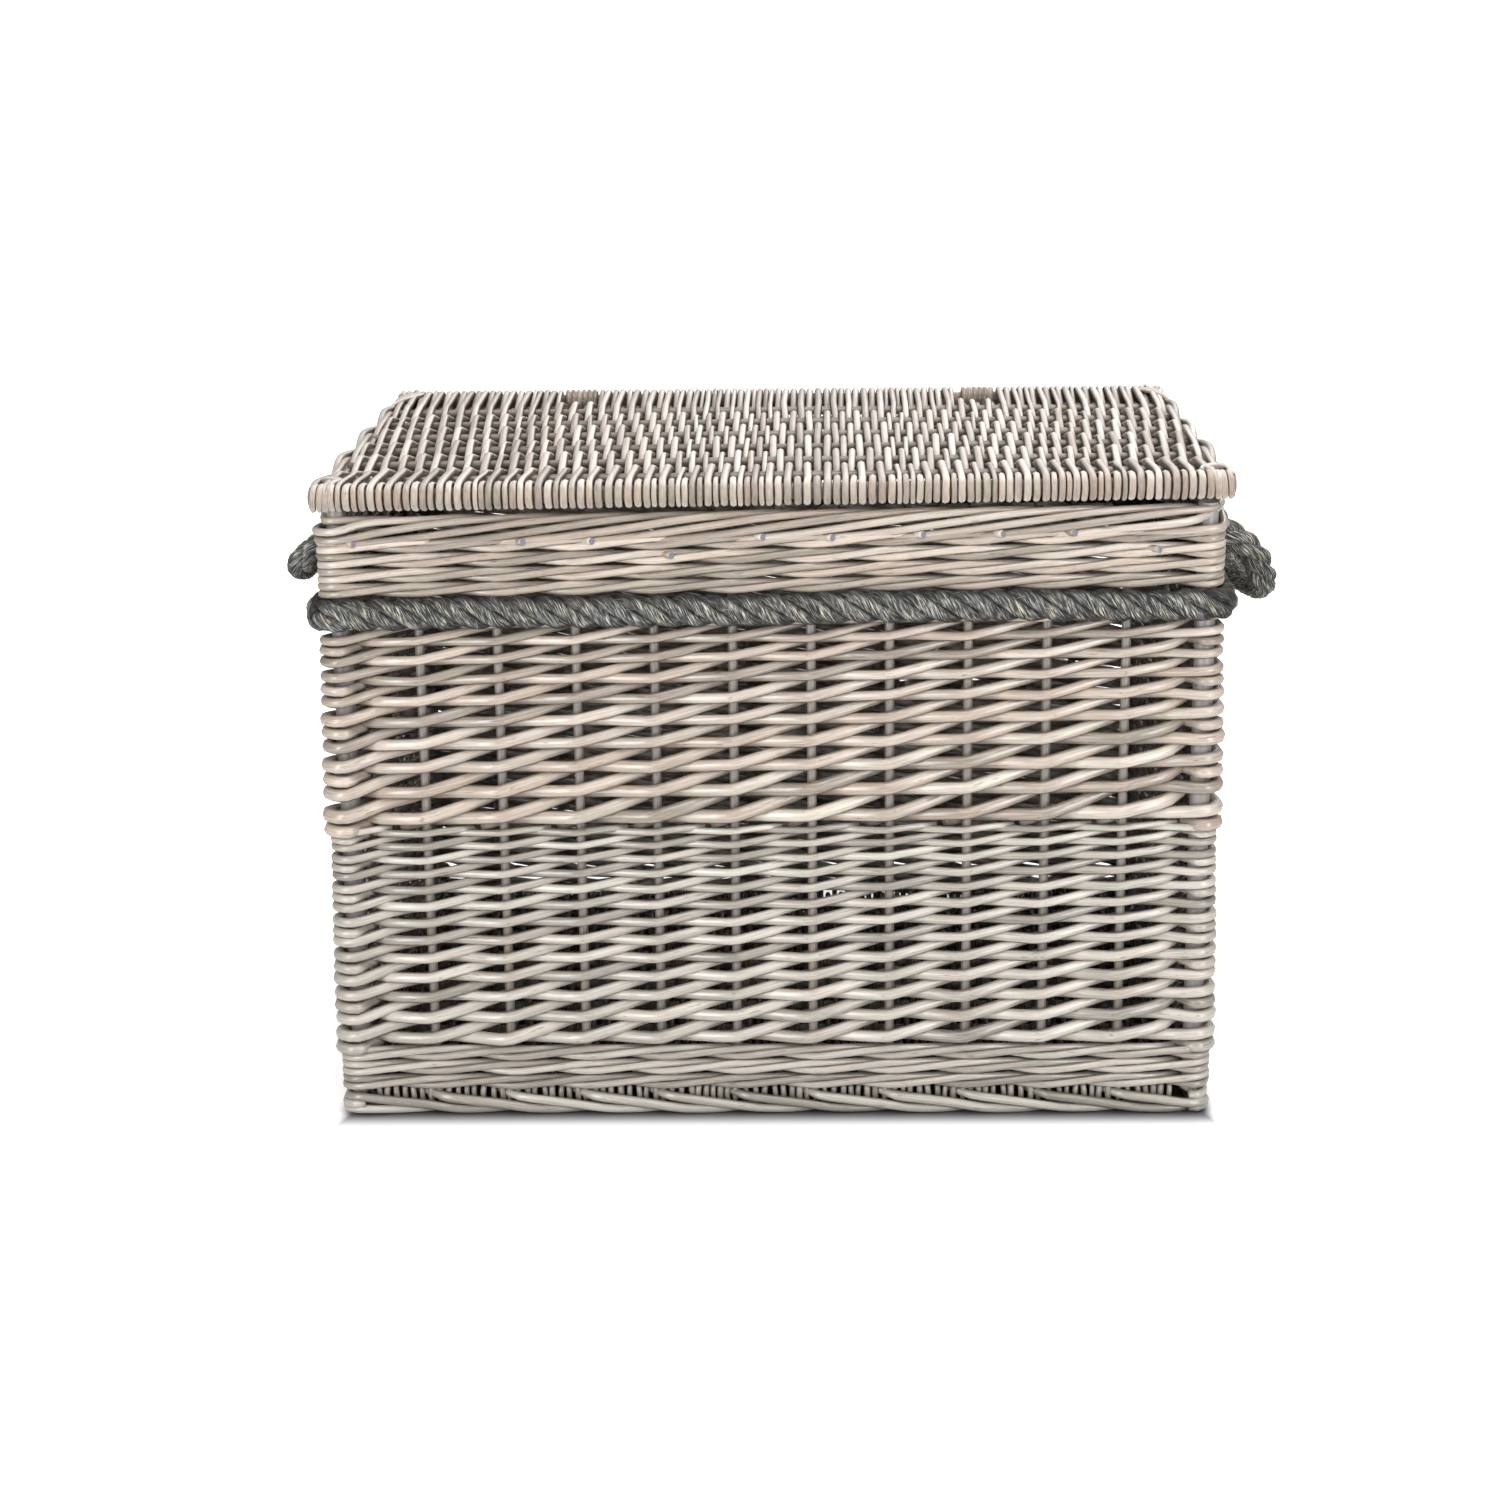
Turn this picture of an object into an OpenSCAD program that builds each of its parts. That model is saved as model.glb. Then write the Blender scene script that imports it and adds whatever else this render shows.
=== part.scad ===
// Willow laundry hamper with a hinged flat lid and rope handles.
// Origin: centre of the body on the floor. +X right, +Y back, +Z up, millimetres.

/* [Body] */
// Width over the woven walls, left to right
body_w = 660; // [520:10:820]
// Depth over the woven walls, front to back
body_d = 470; // [370:10:600]
// Height of the rolled foot border
foot_h = 21; // [15:1:30]
// Height of the waled band above the foot
lower_wale_h = 35; // [24:1:60]
// Height of the lower woven panels
lower_siding_h = 172; // [96:4:260]
// Height of the upper woven panels
upper_siding_h = 147; // [96:3:222]
// Height of the open band that the rope fills
band_h = 33; // [30:1:44]
// Height of the waled band under the rim
upper_wale_h = 41; // [36:1:70]
// Height of the rolled top border
border_h = 17; // [14:1:30]

/* [Rods] */
// Diameter of the upright stakes
stake_d = 7; // [5:0.5:9]
// Stakes in the front wall, and in the back wall
long_stakes = 10; // [6:2:14]
// Stakes in each end wall
end_stakes = 7; // [5:2:9]
// Diameter of the four corner posts
post_d = 15; // [11:0.5:18]
// How far the corner posts stand above the rim, where the lid rests
post_over = 3; // [1:0.5:6]
// Thickness of the rods that weave the walls
rod_t = 6; // [4:0.5:8]
// Height of one woven course in the walls
row_h = 12; // [8:1:24]

/* [Base] */
// Diameter of the base sticks
base_stick_d = 10; // [7:0.5:13]
// Base sticks, front to back
base_sticks_n = 8; // [5:1:11]
// Thickness of the rods that weave the base
base_rod_t = 5; // [3:0.5:6]

/* [Ropes] */
// Height of the rope band, slightly flattened against the stakes
band_rope_h = 26; // [18:1:28]
// Depth of the rope band, front to back of the rope
band_rope_w = 16; // [12:1:20]
// Diameter of the rope handles
rope_d = 23; // [16:1:26]
// From a handle's pivot to the middle of its grip
handle_reach = 58; // [44:1:90]
// Angle of the resting handles below level
handle_droop = 42; // [20:1:44]
// Bend radius where a handle turns into its grip
handle_bend_r = 30; // [24:1:38]
// Diameter of the stopper knots inside the walls
knot_d = 40; // [32:1:46]

/* [Lid] */
// How far each end of the lid stands past the wall
lid_over = 4; // [0:1:10]
// Diameter of the front stick and the back stick
lid_stick_d = 12; // [9:0.5:15]
// Diameter of the thin inner sticks
lid_inner_d = 6; // [4:0.5:8]
// Pairs of inner sticks
lid_pairs = 6; // [4:1:9]
// Thickness of the rods that weave the lid
lid_rod_t = 4.5; // [3:0.5:6]
// Width of one woven strip of the lid, and of the base
strip_w = 21; // [14:1:40]
// Width of the twisted edge at each end of the lid
edge_w = 9; // [6:1:12]

/* [Hinge loops] */
// Stakes between each loop and its corner post
hinge_end_stakes = 2; // [1:1:2]
// Width of a loop
hinge_w = 28; // [8:1:32]
// Thickness of a loop
hinge_t = 4.5; // [3:0.5:6]
// Radial clearance of the back stick in the loops
hinge_fit = 0.08; // [0.02:0.01:0.1]

/* [Clearances] */
// Between a rod and what it passes
gap = 0.3; // [0.2:0.05:0.5]
// Between the closed lid and the tops of the corner posts
lid_gap = 0.5; // [0.3:0.1:1]

/* [Hidden] */
$fn = 48;

// Levels, from the floor up
wale_z = foot_h;
siding_z = wale_z + lower_wale_h;
upper_siding_z = siding_z + lower_siding_h;
band_z = upper_siding_z + upper_siding_h;
upper_wale_z = band_z + band_h;
border_z = upper_wale_z + upper_wale_h;
rim_z = border_z + border_h;

// Wall: how far the stake line and the post centres lie inside the outer face
stake_in = rod_t + gap + stake_d / 2;
post_in = rod_t + gap + post_d / 2;
wall_t = 2 * stake_in;
weave_off = stake_in - rod_t / 2;
stake_flat = stake_d + 4;
post_flat = post_d / 2 + 4;
corner_steps = 6;

// Borders: inset of the corner pivots, and how far each border stands proud
border_pivot = wall_t + 6.4;
border_proud = 1;
border_inner = 2;
foot_proud = 0.5;
foot_round = 3;
// The base weave rests on the flat of the foot border
foot_ledge = foot_round + 0.5;

// Rope band
band_out = band_rope_w / 2 + post_d / 2 + gap;
band_rope_z = upper_wale_z - gap - band_rope_h / 2;

// Handles
leg_y = 1.5 * (body_d - 2 * post_in) / (end_stakes + 1);
exit_z = upper_wale_z + rope_d / 2 + 1.5;
stub_out = 0.5;
pivot_x = body_w / 2 + stub_out + gap + rope_d / 2;
knot_x = body_w / 2 - wall_t - 2 - knot_d / 2;
rope_hole_d = rope_d + 2 * gap;

// Hinge loops, midway between two stakes
hinge_x = body_w / 2 - post_in - (hinge_end_stakes + 0.5) * (body_w - 2 * post_in) / (long_stakes + 1);

// Lid
lid_hook_r = lid_stick_d / 2 + gap + lid_rod_t;
loop_r = lid_stick_d / 2 + hinge_fit + hinge_t;
strap_y = body_d / 2 + border_proud + gap;
hinge_y = strap_y + hinge_t - loop_r;
post_top = rim_z + post_over;
lid_z = post_top + lid_gap + lid_hook_r;
lid_half = body_w / 2 + lid_over;
lid_pitch = 2 * hinge_y / (lid_pairs + 1);
pair_off = lid_inner_d / 2 + gap / 2;
lid_amp = lid_inner_d / 2 + gap + lid_rod_t / 2;
weave_half = lid_half - edge_w - gap;
hinge_slot_w = hinge_w + 2;
hinge_slot_d = lid_hook_r + 3;
hook_z = border_z - hinge_t - gap;
hook_len = 15;

// Base
base_x = body_w / 2 - wall_t;
base_y = body_d / 2 - wall_t;
base_z = foot_h + gap + base_rod_t + base_stick_d / 2;
base_pitch = 2 * base_y / base_sticks_n;
base_amp = base_stick_d / 2 + gap + base_rod_t / 2;

bark = "#a89b8a";
bleached = "#c4b5a6";
grey_bark = "#8f8a86";
rope_grey = "#55554f";

function reversed(v) = [for (i = [len(v) - 1:-1:0]) v[i]];
function spin(p, a) = [p[0] * cos(a) - p[1] * sin(a), p[0] * sin(a) + p[1] * cos(a)];
// Step i of n equal steps from a to b, to a thousandth
function step(i, n, a, b) = round((a + (b - a) * i / n) * 1000) / 1000;
function stake_line(length, n) = [for (i = [1:n]) -length / 2 + i * length / (n + 1)];

// A rod's centre line that passes each row on alternate sides
function over_under(rows, flat, amp, phase) =
    [for (i = [0:len(rows) - 1])
        let (side = (i + phase) % 2 == 0 ? 1 : -1)
        each [[rows[i] - flat / 2, side * amp], [rows[i] + flat / 2, side * amp]]];

// The same line along one wall, outside both of its posts
function wall_line(length, n, phase) = concat(
    [[-length / 2, weave_off], [-length / 2 + post_flat, weave_off]],
    over_under(stake_line(length, n), stake_flat, weave_off, phase),
    [[length / 2 - post_flat, weave_off], [length / 2, weave_off]]);

function raised(line, h) = [for (q = line) [q[0], q[1] + h]];

// One outline of a course that runs right round the body
function course_outline(phase, h) =
    [for (k = [0:3])
        let (long = k % 2 == 0,
             length = (long ? body_w : body_d) - 2 * post_in,
             across = (long ? body_d : body_w) / 2,
             n = long ? long_stakes : end_stakes,
             r = post_in - rod_t / 2 + h)
        each concat(
            [for (q = wall_line(length, n, phase)) spin([q[0], across - stake_in + q[1] + h], -90 * k)],
            [for (i = [1:corner_steps - 1])
                let (a = 90 - i * 90 / corner_steps)
                spin([length / 2 + r * cos(a), across - post_in + r * sin(a)], -90 * k)])];

module ribbon(line, t) {
    polygon(concat(raised(line, t / 2), reversed(raised(line, -t / 2))));
}

module at_corners() {
    for (sx = [-1, 1], sy = [-1, 1])
        translate([sx * (body_w / 2 - post_in), sy * (body_d / 2 - post_in), 0]) children();
}

// Turns a shape drawn for the back wall to wall k: back, right, front, left
module on_wall(k) {
    across = (k % 2 == 0 ? body_d : body_w) / 2;
    rotate([0, 0, -90 * k]) translate([0, across - stake_in, 0]) children();
}

// A section swept round the body; its x is the distance out from the corner pivots
module swept_round(pivot) {
    for (k = [0:3]) {
        length = (k % 2 == 0 ? body_w : body_d) - 2 * pivot;
        across = (k % 2 == 0 ? body_d : body_w) / 2 - pivot;
        rotate([0, 0, -90 * k]) {
            translate([-length / 2, across, 0]) rotate([90, 0, 90]) linear_extrude(length) children();
            translate([length / 2, across, 0]) rotate_extrude(angle = 90) children();
        }
    }
}

module post(sx, sy) {
    color(grey_bark)
        translate([sx * (body_w / 2 - post_in), sy * (body_d / 2 - post_in), foot_h])
            cylinder(d = post_d, h = post_top - foot_h);
}

module wall_stakes(k) {
    long = k % 2 == 0;
    length = (long ? body_w : body_d) - 2 * post_in;
    color(bark) on_wall(k)
        for (u = stake_line(length, long ? long_stakes : end_stakes))
            translate([u, 0, foot_h]) cylinder(d = stake_d, h = border_z - foot_h);
}

// Flat woven panel between two posts
module siding(k, z0, height) {
    long = k % 2 == 0;
    length = (long ? body_w : body_d) - 2 * post_in;
    rows = round(height / row_h);
    color(bleached) on_wall(k)
        for (i = [0:rows - 1]) {
            z = step(i, rows, z0, z0 + height);
            translate([0, 0, z]) linear_extrude(step(i + 1, rows, z0, z0 + height) - z)
                ribbon(wall_line(length, long ? long_stakes : end_stakes, i), rod_t);
        }
}

// Waled band: whole courses that run right round
module wale(z0, height) {
    rows = round(height / row_h);
    for (i = [0:rows - 1]) {
        z = step(i, rows, z0, z0 + height);
        translate([0, 0, z]) linear_extrude(step(i + 1, rows, z0, z0 + height) - z) difference() {
            polygon(course_outline(i, rod_t / 2));
            polygon(course_outline(i, -rod_t / 2));
        }
    }
}

module corner_weave(z0, height) {
    color(bleached) at_corners_turned()
        translate([0, 0, z0]) rotate_extrude(angle = 90)
            translate([post_in - rod_t, 0]) square([rod_t, height]);
}

module at_corners_turned() {
    for (k = [0:3]) {
        long = k % 2 == 0;
        rotate([0, 0, -90 * k])
            translate([(long ? body_w : body_d) / 2 - post_in, (long ? body_d : body_w) / 2 - post_in, 0])
                children();
    }
}

module base_sticks() {
    color(bark)
        for (i = [0:base_sticks_n - 1])
            translate([-base_x, -base_y + (i + 0.5) * base_pitch, base_z])
                rotate([0, 90, 0]) cylinder(d = base_stick_d, h = 2 * base_x);
}

// Woven base, clear of the corner posts
module base_weave() {
    strips = round(2 * base_x / strip_w);
    rows = [for (i = [0:base_sticks_n - 1]) -base_y + (i + 0.5) * base_pitch];
    flat = base_stick_d + 2 * base_rod_t;
    color(bleached) difference() {
        for (i = [0:strips - 1]) {
            x = step(i, strips, -base_x, base_x);
            translate([x, 0, base_z]) rotate([90, 0, 90])
                linear_extrude(step(i + 1, strips, -base_x, base_x) - x)
                    ribbon(over_under_ends(rows, flat, base_amp, i, base_y), base_rod_t);
        }
        at_corners() cylinder(d = post_d + 2 * gap, h = 2 * base_z);
    }
}

// The over and under line, carried on level to both ends
function over_under_ends(rows, flat, amp, phase, reach) =
    let (line = over_under(rows, flat, amp, phase))
    concat([[-reach, line[0][1]]], line, [[reach, line[len(line) - 1][1]]]);

// Bottom flat, chamfered section of a rolled border
module border_section(inner, outer, height, low, high) {
    polygon([[inner + low, 0], [outer - low, 0], [outer, low], [outer, height - high],
             [outer - high, height], [inner + high, height], [inner, height - high], [inner, low]]);
}

module foot_border() {
    color(bark) swept_round(border_pivot)
        border_section(border_pivot - wall_t - foot_ledge, border_pivot + foot_proud, foot_h,
            foot_round, foot_round);
}

// The corner posts pass up through it
module top_border() {
    color(bleached) difference() {
        translate([0, 0, border_z]) swept_round(border_pivot)
            border_section(border_pivot - wall_t - border_inner, border_pivot + border_proud, border_h, 4, 5);
        at_corners() translate([0, 0, border_z - 1]) cylinder(d = post_d + 2 * gap, h = border_h + 2);
    }
}

module rope_band() {
    color(rope_grey) translate([0, 0, band_rope_z]) swept_round(post_in)
        polygon([for (a = [0:20:340]) [band_out + band_rope_w / 2 * cos(a), band_rope_h / 2 * sin(a)]]);
}

// Openings in the upper wale for the handle ropes and the hinge loops
module upper_wale() {
    color(bleached) difference() {
        wale(upper_wale_z, upper_wale_h);
        for (s = [-1, 1])
            translate([-body_w, s * leg_y, exit_z]) rotate([0, 90, 0])
                cylinder(d = rope_hole_d, h = 2 * body_w);
        for (s = [-1, 1])
            translate([s * hinge_x - hinge_w / 2 - gap, strap_y - hook_len - gap, hook_z - gap])
                cube([hinge_w + 2 * gap, hook_len + 2 * gap, hinge_t + 3 * gap]);
    }
}

// A loop round the lid's back stick, with a strap behind the border that hooks in under it
module hinge_loop(s) {
    color(rope_grey) translate([s * hinge_x - hinge_w / 2, 0, 0]) difference() {
        union() {
            translate([0, hinge_y, lid_z]) rotate([0, 90, 0]) cylinder(r = loop_r, h = hinge_w);
            translate([0, strap_y, hook_z]) cube([hinge_w, hinge_t, lid_z - hook_z]);
            translate([0, strap_y - hook_len, hook_z]) cube([hinge_w, hook_len + hinge_t, hinge_t]);
        }
        translate([-1, hinge_y, lid_z]) rotate([0, 90, 0])
            cylinder(d = lid_stick_d + 2 * hinge_fit, h = hinge_w + 2);
    }
}

// Rope through the end wall, with a stopper knot inside
module handle_ends(s) {
    knot_r = knot_d / 2;
    rope_r = rope_d / 2;
    neck = acos(rope_r / knot_r);
    color(rope_grey)
        for (t = [-1, 1])
            translate([s * knot_x, t * leg_y, exit_z]) rotate([0, s * 90, 0]) rotate_extrude()
                polygon(concat([for (i = [0:10]) let (a = -90 + i * (90 + neck) / 10)
                                    [knot_r * cos(a), knot_r * sin(a)]],
                               [[rope_r, body_w / 2 + stub_out - knot_x], [0, body_w / 2 + stub_out - knot_x]]));
}

// Straight leg of a handle, with a round end at its pivot
module handle_leg(length) {
    r = rope_d / 2;
    rotate([0, 90, 0]) rotate_extrude()
        polygon(concat([for (a = [-90:15:0]) [r * cos(a), r * sin(a)]], [[r, length], [0, length]]));
}

module rope_loop() {
    straight = handle_reach - handle_bend_r;
    grip = 2 * (leg_y - handle_bend_r);
    for (t = [-1, 1]) {
        translate([0, t * leg_y, 0]) handle_leg(straight);
        translate([straight, t * (leg_y - handle_bend_r), 0]) rotate([0, 0, t > 0 ? 0 : -90])
            rotate_extrude(angle = 90) translate([handle_bend_r, 0]) circle(d = rope_d);
    }
    translate([handle_reach, grip / 2, 0]) rotate([90, 0, 0]) cylinder(d = rope_d, h = grip);
}

module rope_handle(s) {
    color(rope_grey) translate([s * pivot_x, 0, exit_z]) rotate([0, 0, s > 0 ? 0 : 180])
        rotate([0, handle_droop, 0]) rope_loop();
}

module lid_long_stick(y) {
    color(bark) translate([-lid_half, y, lid_z]) rotate([0, 90, 0])
        cylinder(d = lid_stick_d, h = 2 * lid_half);
}

module lid_inner_sticks() {
    color(bark)
        for (i = [1:lid_pairs], t = [-1, 1])
            translate([-lid_half, -hinge_y + i * lid_pitch + t * pair_off, lid_z])
                rotate([0, 90, 0]) cylinder(d = lid_inner_d, h = 2 * lid_half);
}

// One side of a lid rod's outline: hooked round the front stick, over and under, round the back stick
function lid_outline(phase, h) =
    let (r = lid_stick_d / 2 + gap + lid_rod_t / 2 + h,
         rows = [for (i = [1:lid_pairs]) -hinge_y + i * lid_pitch],
         line = over_under(rows, 2 * lid_inner_d + 4, lid_amp, phase))
    concat(
        [for (a = [270:-15:90]) [-hinge_y + r * cos(a), r * sin(a)]],
        raised(line, h),
        [for (a = [90:-15:-90]) [hinge_y + r * cos(a), r * sin(a)]]);

module lid_strip(phase, w) {
    rotate([90, 0, 90]) linear_extrude(w)
        polygon(concat(lid_outline(phase, lid_rod_t / 2), reversed(lid_outline(phase, -lid_rod_t / 2))));
}

module lid_weave() {
    strips = round(2 * weave_half / strip_w);
    color(bleached) difference() {
        for (i = [0:strips - 1]) {
            x = step(i, strips, -weave_half, weave_half);
            translate([x, 0, lid_z]) lid_strip(i, step(i + 1, strips, -weave_half, weave_half) - x);
        }
        for (s = [-1, 1])
            translate([s * hinge_x - hinge_slot_w / 2, hinge_y - hinge_slot_d, lid_z - lid_hook_r - 1])
                cube([hinge_slot_w, 2 * hinge_slot_d, 2 * lid_hook_r + 2]);
    }
}

// Two strands that pass the stick ends on opposite sides
module lid_edge(s) {
    rows = [for (i = [1:lid_pairs]) -hinge_y + i * lid_pitch];
    reach = hinge_y - lid_hook_r - gap;
    x0 = s > 0 ? lid_half - edge_w : -lid_half;
    color(bleached)
        for (i = [0, 1])
            translate([x0 + i * edge_w / 2, 0, lid_z]) rotate([90, 0, 90]) linear_extrude(edge_w / 2)
                ribbon(over_under_ends(rows, 2 * lid_inner_d + 4, lid_amp, i, reach), lid_rod_t);
}

module lid_corner_bindings() {
    color(bleached)
        for (sx = [-1, 1], sy = [-1, 1])
            translate([sx * (lid_half - edge_w / 2) - edge_w / 2, sy * hinge_y, lid_z])
                rotate([0, 90, 0]) difference() {
                    cylinder(r = lid_hook_r, h = edge_w);
                    translate([0, 0, -1]) cylinder(r = lid_stick_d / 2 + gap, h = edge_w + 2);
                }
}

post(-1, -1);  // front_left_post
post(1, -1);  // front_right_post
post(-1, 1);  // back_left_post
post(1, 1);  // back_right_post
wall_stakes(2);  // front_stakes
wall_stakes(0);  // back_stakes
wall_stakes(3);  // left_stakes
wall_stakes(1);  // right_stakes
base_sticks();
base_weave();
foot_border();
color(bleached) wale(wale_z, lower_wale_h);  // lower_wale
siding(2, siding_z, lower_siding_h);  // front_lower_siding
siding(0, siding_z, lower_siding_h);  // back_lower_siding
siding(3, siding_z, lower_siding_h);  // left_lower_siding
siding(1, siding_z, lower_siding_h);  // right_lower_siding
siding(2, upper_siding_z, upper_siding_h);  // front_upper_siding
siding(0, upper_siding_z, upper_siding_h);  // back_upper_siding
siding(3, upper_siding_z, upper_siding_h);  // left_upper_siding
siding(1, upper_siding_z, upper_siding_h);  // right_upper_siding
corner_weave(siding_z, lower_siding_h);  // lower_corner_weave
corner_weave(upper_siding_z, upper_siding_h);  // upper_corner_weave
rope_band();
upper_wale();
top_border();
hinge_loop(-1);  // left_hinge_loop
hinge_loop(1);  // right_hinge_loop
handle_ends(-1);  // left_handle_ends
handle_ends(1);  // right_handle_ends
lid_long_stick(-hinge_y);  // lid_front_stick
lid_long_stick(hinge_y);  // lid_back_stick
lid_inner_sticks();
lid_weave();
lid_edge(-1);  // lid_left_edge
lid_edge(1);  // lid_right_edge
lid_corner_bindings();
rope_handle(-1);  // left_rope_handle
rope_handle(1);  // right_rope_handle
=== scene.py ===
import math
import random
import bmesh
import bpy
import numpy as np
from mathutils import Matrix, Vector, noise


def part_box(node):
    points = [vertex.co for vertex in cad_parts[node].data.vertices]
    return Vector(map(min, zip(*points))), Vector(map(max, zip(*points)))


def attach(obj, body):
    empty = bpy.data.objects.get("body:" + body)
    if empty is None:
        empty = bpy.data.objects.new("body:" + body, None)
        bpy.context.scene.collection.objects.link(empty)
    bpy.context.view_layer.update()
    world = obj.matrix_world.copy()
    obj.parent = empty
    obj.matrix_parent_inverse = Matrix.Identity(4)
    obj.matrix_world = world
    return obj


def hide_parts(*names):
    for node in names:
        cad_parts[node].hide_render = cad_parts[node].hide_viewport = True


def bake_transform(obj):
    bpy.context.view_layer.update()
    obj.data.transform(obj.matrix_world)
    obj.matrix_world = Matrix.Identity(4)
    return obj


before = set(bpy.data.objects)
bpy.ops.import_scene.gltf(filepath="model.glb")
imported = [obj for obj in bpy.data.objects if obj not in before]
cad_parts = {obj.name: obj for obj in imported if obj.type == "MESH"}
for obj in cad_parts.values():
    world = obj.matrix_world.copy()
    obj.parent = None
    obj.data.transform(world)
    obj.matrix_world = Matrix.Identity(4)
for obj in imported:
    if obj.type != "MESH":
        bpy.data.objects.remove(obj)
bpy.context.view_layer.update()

# Lengths in the dictionaries are millimetres
mm = 0.001

# The focal length has the same unit as the width of the view
cameraSetup = {"place": (39, -2290, 841), "pitch": -15.04, "roll": 0.68, "yaw": 1.55, "focal": 2891,
               "wide": 1500, "sensor": 36}
# How far the weave rises at the right of the front, and the height where it does so
lean = {"rise": 2.6, "height": 470}
# Arcs and bends are parts of the way from one stake to the next; the bulge is at the front left corner
ring = {"longStakes": 10, "endStakes": 7, "postArc": 0.15, "bend": 0.13, "bulge": 3.2, "bulgeReach": 0.35}
# Strokes are the stops that a rod passes, butt and tip its radii, and climb its rise behind a stake in radii
lowerSiding = {"strokes": 26, "butt": 4.2, "tip": 2.4, "waver": 1.1, "fill": 1.16, "climb": 0.9, "seed": 11}
upperSiding = {"strokes": 20, "butt": 4.45, "tip": 2.75, "waver": 1.3, "fill": 1.16, "climb": 0.9, "seed": 12}
# The rods of the back wall are this much thicker
backFill = 1.12
# Start is the stop where the rods begin, run the least way before one ends, lift the heights of the three rods
waleSetup = {"start": 24, "run": 9, "waver": 0.7, "lift": (0.25, 0.77, 0.5)}
lowerWale = {"rounds": 3, "rod": 2.95, "seed": 21}
upperWale = {"rounds": 4, "rod": 3.0, "seed": 22}
topBorder = {"rod": 3.1, "seed": 31}
# Cut stake tips under the top border: below the rim, how far out, and how many stops have one or have it low
stakeTips = {"at": 0.35, "below": 18.5, "out": 11.5, "rod": 2.8, "share": 0.85, "low": 13, "lowShare": 0.12}
footBorder = {"rod": 3.8, "seed": 32}
baseWeave = {"rod": 2.5, "pitch": 6.2, "sticks": 8, "margin": 12, "seed": 41}
lidWeave = {"pitch": 6.0, "pairs": 6, "thickest": 3.2, "tail": 26, "seed": 51}
lidEdge = {"rod": 2.75, "inset": 4.8, "turn": 7}
lidBinding = {"rod": 2.4, "thin": 1.8}
hingeLoop = {"wrap": 4.7, "seed": 71}
ropeBand = {"strand": 5.7, "lay": 60, "tall": 6.5, "deep": 3.3, "off": 10.8, "hairs": 420, "seed": 61}
ropeTwist = -140
ropeHandles = {"strand": 5.8, "lay": 50, "apart": 5.6, "hairs": 220, "hairLong": 12, "pivotOut": 11, "seed": 62}
stopperKnot = {"size": 11, "strand": 7.0, "half": 20}
hairRadius = 0.17
hairLong = 16
# Reach from the wall, then the droop, sag and lean of the far leg in degrees
leftHandle = {"reach": 42, "droop": 27, "sag": 24, "far": 4}
rightHandle = {"reach": 63, "droop": 33, "sag": 34, "far": 14}
floorGlow = {"halfX": 322, "halfY": 226, "endStretch": 2.6}
# Tones that mark a cut end, a dark hair and a straw
cutTone = -1.0
hairTone = 0.2
strawTone = 0.9
plain = (1, 1, 1)
willowTones = {
    "lower": {"dark": (0.145, 0.130, 0.112), "mid": (0.275, 0.250, 0.218), "light": (0.43, 0.40, 0.36)},
    "upper": {"dark": (0.155, 0.129, 0.106), "mid": (0.300, 0.254, 0.212), "light": (0.46, 0.41, 0.36)},
    "lid": {"dark": (0.26, 0.225, 0.20), "mid": (0.49, 0.435, 0.395), "light": (0.68, 0.625, 0.585)},
    "hinge": {"dark": (0.20, 0.165, 0.13), "mid": (0.34, 0.285, 0.23), "light": (0.46, 0.40, 0.34)},
    "inner": {"dark": (0.17, 0.145, 0.12), "mid": (0.31, 0.265, 0.22), "light": (0.43, 0.38, 0.33)},
    "stake": {"dark": (0.09, 0.08, 0.07), "mid": (0.17, 0.15, 0.13), "light": (0.27, 0.245, 0.215)},
    "post": {"dark": (0.11, 0.10, 0.10), "mid": (0.20, 0.185, 0.18), "light": (0.30, 0.285, 0.285)},
}


# Camera

def addCamera():
    data = bpy.data.cameras.new("camera")
    data.lens = cameraSetup["focal"] / cameraSetup["wide"] * cameraSetup["sensor"]
    data.sensor_width = cameraSetup["sensor"]
    data.clip_end = 50
    camera = bpy.data.objects.new("camera", data)
    turn = (Matrix.Rotation(math.radians(cameraSetup["yaw"]), 4, "Z")
            @ Matrix.Rotation(math.radians(cameraSetup["pitch"] + 90), 4, "X")
            @ Matrix.Rotation(math.radians(-cameraSetup["roll"]), 4, "Z"))
    camera.matrix_world = Matrix.Translation(Vector(cameraSetup["place"]) * mm) @ turn
    bpy.context.scene.collection.objects.link(camera)
    bpy.context.scene.camera = camera


addCamera()


# Where things are, from the frame

def boxMm(node):
    low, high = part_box(node)
    return np.array(low) / mm, np.array(high) / mm


def middle(node):
    low, high = boxMm(node)
    return (low + high) / 2


postX, postY = middle("back_right_post")[:2]
stakeY = middle("back_stakes")[1]
stakeX = middle("right_stakes")[0]
stakeLow, stakeHigh = boxMm("back_stakes")
stakeR = (stakeHigh[1] - stakeLow[1]) / 2
cornerR = stakeY - postY
nLong = ring["longStakes"] + 1
nEnd = ring["endStakes"] + 1
stops = 2 * (nLong + nEnd)
posts = (0, nLong, nLong + nEnd, 2 * nLong + nEnd)
# For each wall: its first stop, its number of bays, its first post, its direction and its outward side
walls = (
    (posts[0], nLong, (-postX, -postY), (1, 0), (0, -1)),
    (posts[1], nEnd, (postX, -postY), (0, 1), (1, 0)),
    (posts[2], nLong, (postX, postY), (-1, 0), (0, 1)),
    (posts[3], nEnd, (-postX, postY), (0, -1), (-1, 0)),
)


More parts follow.
